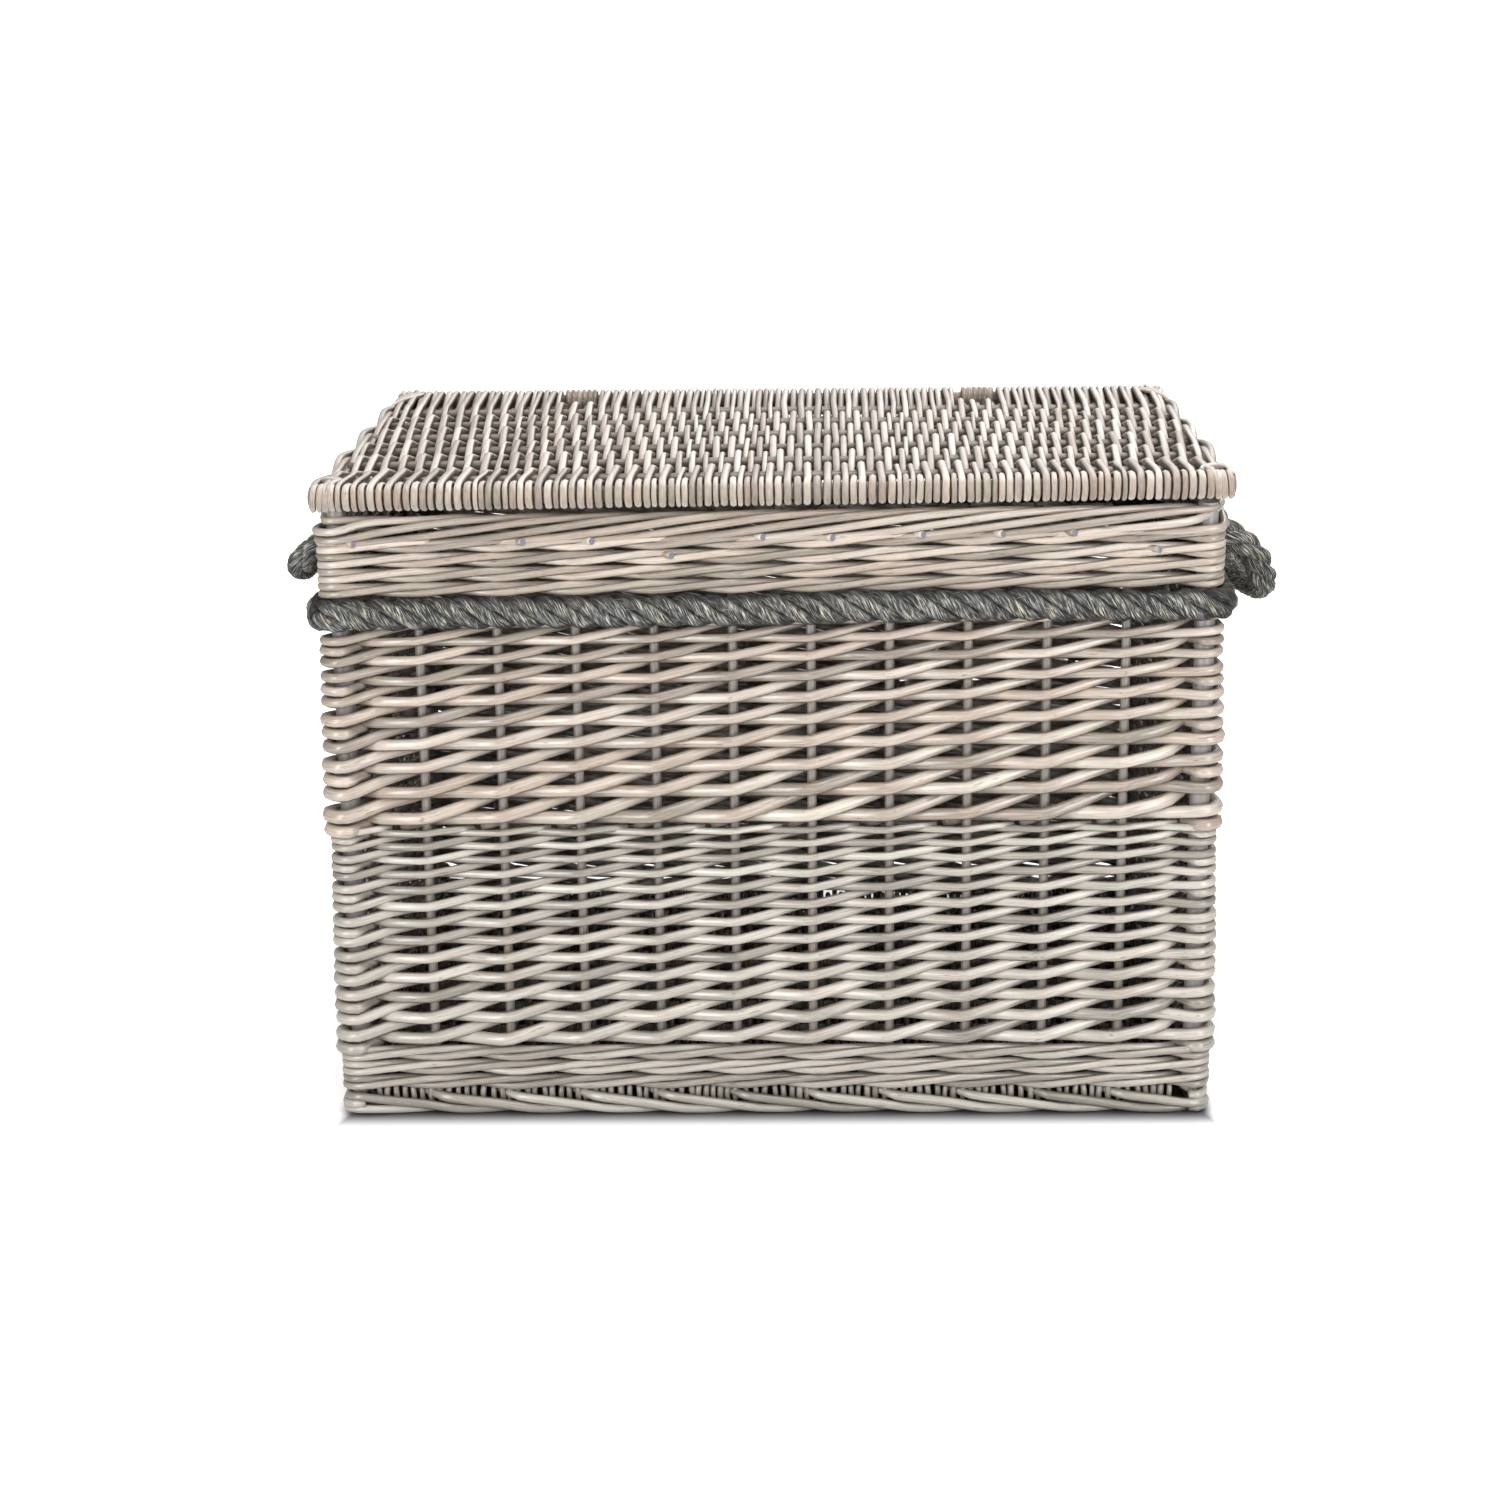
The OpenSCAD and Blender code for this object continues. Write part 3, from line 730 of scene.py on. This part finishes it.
lidY, lidZ = middle("lid_back_stick")[1:]
lidLow, lidHigh = boxMm("lid_weave")
sticksLow, sticksHigh = boxMm("lid_inner_sticks")
stickLow, stickHigh = boxMm("lid_back_stick")
longR = (stickHigh[2] - stickLow[2]) / 2
innerR = (sticksHigh[2] - sticksLow[2]) / 2
lidHalf = stickHigh[0]
hookR = (lidHigh[2] - lidLow[2]) / 2
pairs = lidWeave["pairs"]
pairPitch = 2 * lidY / (pairs + 1)
pairRows = [-lidY + (i + 1) * pairPitch for i in range(pairs)]
hingeX = middle("right_hinge_loop")[0]
hingeLow, hingeHigh = boxMm("right_hinge_loop")
hingeHalf = (hingeHigh[0] - hingeLow[0]) / 2


def lidRods():
    rng = random.Random(lidWeave["seed"])
    bm = newMesh()
    count = round((lidHigh[0] - lidLow[0]) / lidWeave["pitch"])
    tail = lidWeave["tail"]
    x = lidLow[0]
    widths = [1 + rng.uniform(-0.30, 0.34) for _ in range(count)]
    unit = (lidHigh[0] - lidLow[0]) / sum(widths)
    for i in range(count):
        w = widths[i] * unit
        x += w / 2
        r = min(w / 2 * 0.97, lidWeave["thickest"])
        wrap = hookR - r + rng.uniform(-0.3, 0.3)
        atHinge = abs(abs(x) - hingeX) < hingeHalf + r + 0.5
        phase = i % 2
        slant = rng.uniform(-1.0, 1.0)
        points = []
        for a in (-50, -90, -135, -180, -225, -270):
            c = math.radians(a)
            points.append((x + rng.uniform(-0.3, 0.3), -lidY + wrap * math.cos(c),
                           lidZ + wrap * math.sin(c), r * 0.95))
        points.insert(0, (x, -lidY + tail, lidZ - 4.5, r * 0.9))
        for k, y in enumerate(pairRows):
            side = 1 if (k + phase) % 2 == 0 else -1
            wobble = 0.9 * noise.noise(Vector((x * 0.05, y * 0.02, 3.1))) + rng.uniform(-0.45, 0.45)
            thin = r * (1.03 - 0.06 * k / pairs)
            reach = innerR + thin + 0.1
            points.append((x + wobble + slant * k / pairs, y - 4, lidZ + side * reach, thin))
            points.append((x + wobble + slant * k / pairs, y + 4, lidZ + side * reach, thin))
            if k < pairs - 1:
                points.append((x + wobble, y + pairPitch / 2, lidZ + rng.uniform(-0.4, 0.4), thin))
        if atHinge:
            points.append((x, lidY - hookR - 5, lidZ - 3, r * 0.85))
        else:
            for a in (90, 45, 0, -45, -90, -130):
                c = math.radians(a)
                points.append((x + rng.uniform(-0.15, 0.15), lidY + wrap * math.cos(c),
                               lidZ + wrap * math.sin(c), r * 0.93))
            points.append((x, lidY - tail, lidZ - 4.5, r * 0.85))
        addRod(bm, smoothLine(points, 10), 8, rng.random(), grain(rng))
        x += w / 2
    shapePiece("lidRods", bm, lidWillow, "lid", ("lid_weave",))


def lidSticks():
    rng = random.Random(lidWeave["seed"] + 1)
    bm = newMesh()
    for y in pairRows:
        for side in (-1, 1):
            line = []
            for i in range(9):
                x = (sticksLow[0] + 8) * (1 - i / 4)
                line.append((x, y + side * (innerR + 0.1) + rng.uniform(-0.5, 0.5),
                             lidZ + rng.uniform(-0.3, 0.3), innerR * (1 + rng.uniform(-0.04, 0.04))))
            addRod(bm, smoothLine(line, 25), 8, rng.uniform(0, 0.6), grain(rng))
    shapePiece("lidSticks", bm, innerWillow, "lid", ("lid_inner_sticks",))
    bm = newMesh()
    for y in (-lidY, lidY):
        addRod(bm, [(x, y, lidZ, longR) for x in (-lidHalf, 0, lidHalf)], 12, 0.4)
    shapePiece("lidLongSticks", bm, innerWillow, "lid", ("lid_front_stick", "lid_back_stick"))


def lidEdges(rng):
    for side, name, node in ((-1, "lidEdgeLeft", "lid_left_edge"), (1, "lidEdgeRight", "lid_right_edge")):
        bm = newMesh()
        # Two strands of two rods each, twisted loosely round one another
        for strand in range(2):
            for rod in (-1, 1):
                points = []
                steps = 4 * (pairs + 1)
                for i in range(steps + 1):
                    y = -lidY + 2 * lidY * i / steps
                    a = math.pi * (i / lidEdge["turn"] + strand)
                    twist = math.sin(a)
                    x = side * (lidHalf - lidEdge["inset"] + 2.8 * twist + rod * 2.3 * abs(math.cos(a)))
                    z = lidZ + 1.2 + 4.6 * math.cos(a) + rod * 2.3 * twist
                    points.append((x, y, z, lidEdge["rod"] + rng.uniform(-0.1, 0.1)))
                addRod(bm, smoothLine(points, 8), 8, rng.random(), grain(rng))
        shapePiece(name, bm, lidWillow, "lid", (node,))


def lidBindings(rng):
    bm = newMesh()
    r = lidBinding["rod"]
    thin = lidBinding["thin"]
    wrap = hookR - r
    for sx in (-1, 1):
        for sy in (-1, 1):
            # Two turns round the end of the long stick, then back over the edge strands
            points = []
            for i in range(19):
                a = math.radians(i * 45 - 90)
                x = sx * (lidHalf - r - 0.2 - i * 0.6)
                points.append((x, sy * lidY + wrap * math.cos(a) * sy, lidZ + wrap * math.sin(a), r))
            points += [(sx * (lidHalf - 17), sy * (lidY - 4), lidZ + 10.0, r),
                       (sx * (lidHalf - 20), sy * (lidY - 14), lidZ + 9.0, r),
                       (sx * (lidHalf - 11), sy * (lidY - 27), lidZ + 9.0, r),
                       (sx * (lidHalf - 3), sy * (lidY - 37), lidZ + 4.5, r),
                       (sx * (lidHalf - 3), sy * (lidY - 44), lidZ - 4.0, r * 0.9)]
            addRod(bm, smoothLine(points, 5), 8, rng.uniform(0.4, 0.9), grain(rng))
            for extra in (3.6, 7.0):
                points = [(sx * (lidHalf - 12), sy * (lidY + 2 - extra), lidZ + 9.0 - extra / 3, thin),
                          (sx * (lidHalf - 21 - extra / 4), sy * (lidY - 11 - extra / 2), lidZ + 8.6, thin),
                          (sx * (lidHalf - 12), sy * (lidY - 27 - extra), lidZ + 8.6, thin),
                          (sx * (lidHalf - 2), sy * (lidY - 37 - extra), lidZ + 4.5, thin),
                          (sx * (lidHalf - 3), sy * (lidY - 43 - extra), lidZ - 4.0, thin - 0.2)]
                addRod(bm, smoothLine(points, 5), 6, rng.uniform(0.4, 0.9), grain(rng))
    shapePiece("lidCornerBindings", bm, lidWillow, "lid", ("lid_corner_bindings",))


lidRods()
lidSticks()
trimRng = random.Random(lidWeave["seed"] + 2)
lidEdges(trimRng)
lidBindings(trimRng)
print("lid woven")


# Hinge loops

def hinges():
    rng = random.Random(hingeLoop["seed"])
    for name, node in (("hingeLoopLeft", "left_hinge_loop"), ("hingeLoopRight", "right_hinge_loop")):
        low, high = boxMm(node)
        bm = newMesh()
        wraps = round((high[0] - low[0]) / hingeLoop["wrap"])
        r = (high[0] - low[0]) / wraps / 2
        wrap = longR + r + 0.1
        for strand in range(wraps):
            x = low[0] + (2 * strand + 1) * r
            points = [(x, low[1] + 2, low[2] + r, r), (x, high[1] - 4, low[2] + r, r),
                      (x, high[1] - r, low[2] + 5, r), (x, high[1] - r, (low[2] + lidZ) / 2, r)]
            for a in (0, 45, 90, 135, 180, 225, 262):
                c = math.radians(a)
                points.append((x, lidY + wrap * math.cos(c), lidZ + wrap * math.sin(c), r))
            points.append((x, lidY + 4.0, lidZ - wrap - 3.5, r))
            addRod(bm, smoothLine(points, 4), 8, rng.random(), grain(rng))
        shapePiece(name, bm, hingeWillow, "basket", (node,))


hinges()
print("hinges tied")


# Ropes

def ropeFrame(line):
    # Steady sideways and upward directions along a centre line
    tangents = np.gradient(line[:, :3], axis=0)
    tangents /= np.linalg.norm(tangents, axis=1)[:, None]
    normals = np.empty_like(tangents)
    first = np.cross(tangents[0], (0, 0, 1))
    if np.linalg.norm(first) < 0.1:
        first = np.cross(tangents[0], (0, 1, 0))
    normal = first / np.linalg.norm(first)
    for i, t in enumerate(tangents):
        normal = normal - t * np.dot(normal, t)
        normal /= np.linalg.norm(normal)
        normals[i] = normal
    return normals, np.cross(tangents, normals)


def addRope(bm, line, strand, lay, wide, tall, closed=False, fixed=None):
    out, up = fixed or ropeFrame(line)
    reach = reachAlong(line)
    turns = reach / lay
    if closed:
        turns = reach / reach[-1] * round(reach[-1] / lay)
    for k in range(3):
        a = -2 * math.pi * (turns + k / 3)
        at = line[:, :3] + out * (wide * np.cos(a))[:, None] + up * (tall * np.sin(a))[:, None]
        swell = 1 + 0.05 * np.sin(reach * 0.21 + k) + 0.04 * np.sin(reach * 0.47 + 2 * k)
        rows = np.column_stack([at, np.full(len(at), strand) * swell * line[:, 3]])
        addRod(bm, rows, 10, 0.3 + 0.1 * k, k * 7.0)


def addHairs(bm, line, out, up, radius, count, rng, long=hairLong):
    n = len(line)
    for _ in range(count):
        i = rng.randrange(2, n - 8)
        a = rng.uniform(0, 2 * math.pi)
        outward = out[i] * math.cos(a) + up[i] * math.sin(a)
        base = line[i, :3] + outward * radius
        size = rng.uniform(0.35, 1) * long
        drift = line[i + 1, :3] - line[i, :3]
        drift = drift / np.linalg.norm(drift) * rng.uniform(-1, 1)
        curl = np.array([rng.uniform(-1, 1) for _ in range(3)])
        points = []
        for t in (0, 0.35, 0.7, 1):
            p = base + (outward * 0.45 * t + drift * t + curl * 0.35 * t * t) * size - outward * 0.6
            points.append((*p, hairRadius * (1 - 0.5 * t)))
        addRod(bm, points, 4, strawTone if rng.random() < 0.5 else hairTone, rng.uniform(0, 9))


def band():
    rng = random.Random(ropeBand["seed"])
    z = (ropeLow[2] + ropeHigh[2]) / 2
    rows = []
    for i in range(stops * 24):
        s = i / 24
        a = 2 * math.pi * s / stops
        sag = 1.5 * noise.noise(Vector((4 * math.cos(a), 4 * math.sin(a), 7.7)))
        rows.append((*ringPoint(s, ropeBand["off"], z + sag), 1))
    rows.append(rows[0])
    line = evenly(rows, 3.4)
    tangents = np.gradient(line[:, :3], axis=0)
    tangents[0] = tangents[-1] = line[1, :3] - line[-2, :3]
    tangents /= np.linalg.norm(tangents, axis=1)[:, None]
    up = np.tile((0.0, 0.0, 1.0), (len(line), 1))
    out = np.cross(tangents, up)
    bm = newMesh()
    addRope(bm, line, ropeBand["strand"], ropeBand["lay"], ropeBand["deep"], ropeBand["tall"],
            closed=True, fixed=(out, up))
    addHairs(bm, line, out, up, ropeBand["strand"] + ropeBand["deep"] * 0.8, ropeBand["hairs"], rng)
    shapePiece("ropeBand", bm, darkRope, "basket", ("rope_band",))


def knotLine(centre, side):
    # An overhand knot closed on itself
    size = stopperKnot["size"]
    points = []
    for i in range(49):
        a = 2 * math.pi * i / 48
        r = (2 + math.cos(3 * a)) * size / 3
        points.append((centre[0] + side * math.sin(3 * a) * size * 0.42, centre[1] + r * math.cos(2 * a),
                       centre[2] + r * math.sin(2 * a), stopperKnot["strand"]))
    return points


def handle(side, name, ends, setup):
    rng = random.Random(ropeHandles["seed"] + side)
    low, high = boxMm(ends)
    legY = high[1] - stopperKnot["half"]
    wallX = side * max(abs(low[0]), abs(high[0]))
    knotX = side * (min(abs(low[0]), abs(high[0])) + stopperKnot["half"])
    z = (low[2] + high[2]) / 2
    pivotX = wallX + side * ropeHandles["pivotOut"]
    a = math.radians(setup["droop"])
    reach = setup["reach"]

    def beyond(distance, y):
        # The legs leave the wall nearly level and bend down towards the grip
        sag = a + math.radians(setup["sag"]) * (distance / reach - 0.5)
        sag += math.radians(setup["far"]) * (y / legY + 1) / 2
        return (pivotX + side * math.cos(sag) * distance, y, z - math.sin(sag) * distance, 1)

    points = [(knotX, -legY, z, 1), (knotX + side * 15, -legY, z, 1), (wallX - side * 8, -legY, z, 1),
              (pivotX - side * 3, -legY, z - 0.5, 1),
              beyond(14, -legY), beyond(reach - 26, -legY + 1), beyond(reach - 8, -legY + 8),
              beyond(reach, -legY + 28), beyond(reach + 2, 0), beyond(reach, legY - 28),
              beyond(reach - 8, legY - 8), beyond(reach - 26, legY - 1), beyond(14, legY),
              (pivotX - side * 3, legY, z - 0.5, 1),
              (wallX - side * 8, legY, z, 1), (knotX + side * 15, legY, z, 1), (knotX, legY, z, 1)]
    line = evenly(smoothLine(points, 3), 3.2)
    bm = newMesh()
    out, up = ropeFrame(line)
    addRope(bm, line, ropeHandles["strand"], ropeHandles["lay"], ropeHandles["apart"], ropeHandles["apart"])
    hidden = len(line) // 5
    shown = slice(hidden, -hidden)
    addHairs(bm, line[shown], out[shown], up[shown], 10.5, ropeHandles["hairs"], rng, ropeHandles["hairLong"])
    for y in (-legY, legY):
        addRod(bm, knotLine((knotX, y, z), side), 10, 0.4, 3.0)
    nodes = (ends, ends.replace("_handle_ends", "_rope_handle"))
    piece = shapePiece(name, bm, darkRope, None, nodes)
    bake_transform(piece)
    outside = smoothLine([p for p in points if abs(p[0]) >= abs(wallX) - 9], 3)
    print(name, "rope length outside", round(reachAlong(outside)[-1]))


band()
handle(-1, "leftRopeHandle", "left_handle_ends", leftHandle)
handle(1, "rightRopeHandle", "right_handle_ends", rightHandle)
print("ropes laid")

bpy.data.objects.remove(maker)

# The posts, stakes and base sticks show as they are
shownNodes = (
    (postWillow, ("front_left_post", "front_right_post", "back_left_post", "back_right_post")),
    (stakeWillow, ("front_stakes", "back_stakes", "left_stakes", "right_stakes", "base_sticks")),
)
for material, nodes in shownNodes:
    for node in nodes:
        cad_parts[node].data.materials.clear()
        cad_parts[node].data.materials.append(material)


# Floor and light

def studio():
    floorMaterial, tree, shader = nodeTree("floorWhite")
    shader.inputs["Roughness"].default_value = 0.9
    # The floor glows to the camera away from the basket, and its colour is painted dark close to the basket as
    # a painted shadow
    away = beyondSides(tree, floorGlow["halfX"] * mm, floorGlow["halfY"] * mm, floorGlow["endStretch"])[0]
    glow = ramp(tree, mathNode(tree, "MULTIPLY", away, 1.0, True),
                ((0.0, (0, 0, 0)), (0.016, (0.03, 0.03, 0.03)), (0.040, (0.42, 0.42, 0.42)),
                 (0.25, (0.7, 0.7, 0.7)), (1.0, plain)))
    # Painted shadow: the floor's colour darkens close to the basket
    paintedShadow = ramp(tree, mathNode(tree, "MULTIPLY", away, 15.0, True),
                 ((0.0, (0.03, 0.03, 0.032)), (0.15, (0.13, 0.13, 0.137)), (0.33, (0.46, 0.46, 0.47)),
                  (0.62, (0.86, 0.86, 0.86))))
    tree.links.new(paintedShadow, shader.inputs["Base Color"])
    seen = tree.nodes.new("ShaderNodeLightPath")
    tree.links.new(glow, shader.inputs["Emission Color"])
    tree.links.new(seen.outputs["Is Camera Ray"], shader.inputs["Emission Strength"])
    bm = bmesh.new()
    bmesh.ops.create_grid(bm, x_segments=1, y_segments=1, size=9)
    mesh = bpy.data.meshes.new("floor")
    bm.to_mesh(mesh)
    bm.free()
    mesh.materials.append(floorMaterial)
    floor = bpy.data.objects.new("floor", mesh)
    bpy.context.scene.collection.objects.link(floor)
    world = bpy.data.worlds.new("studio")
    world.use_nodes = True
    tree = world.node_tree
    background = tree.nodes["Background"]
    background.inputs[0].default_value = (1, 1, 1, 1)
    # White behind the object, a dimmer sky for its light
    seen = tree.nodes.new("ShaderNodeLightPath")
    level = mathNode(tree, "ADD", mathNode(tree, "MULTIPLY", seen.outputs["Is Camera Ray"], 0.75), 0.30)
    tree.links.new(level, background.inputs[1])
    bpy.context.scene.world = world
    # Name, place, aim, width, height, power
    lights = (
        ("top", (0.45, -0.45, 2.25), (0.05, 0.05, 0.4), 1.8, 1.4, 43),
        ("front", (0.1, -3.4, 1.7), (0, 0, 0.25), 2.4, 1.2, 21),
        ("keyLeft", (-1.30, -1.65, 0.75), (-0.1, 0, 0.25), 0.42, 1.6, 32),
        ("keyRight", (1.25, -1.65, 0.75), (0.1, 0, 0.25), 0.42, 1.6, 28),
        ("back", (0.6, 2.6, 1.6), (0, 0, 0.40), 1.5, 0.8, 15),
    )
    for name, place, aim, width, height, power in lights:
        data = bpy.data.lights.new(name, "AREA")
        data.shape = "RECTANGLE"
        data.size = width
        data.size_y = height
        data.energy = power
        light = bpy.data.objects.new(name, data)
        light.location = place
        light.rotation_euler = (Vector(aim) - Vector(place)).to_track_quat("-Z", "Y").to_euler()
        bpy.context.scene.collection.objects.link(light)
    bpy.context.scene.view_settings.view_transform = "Standard"


studio()
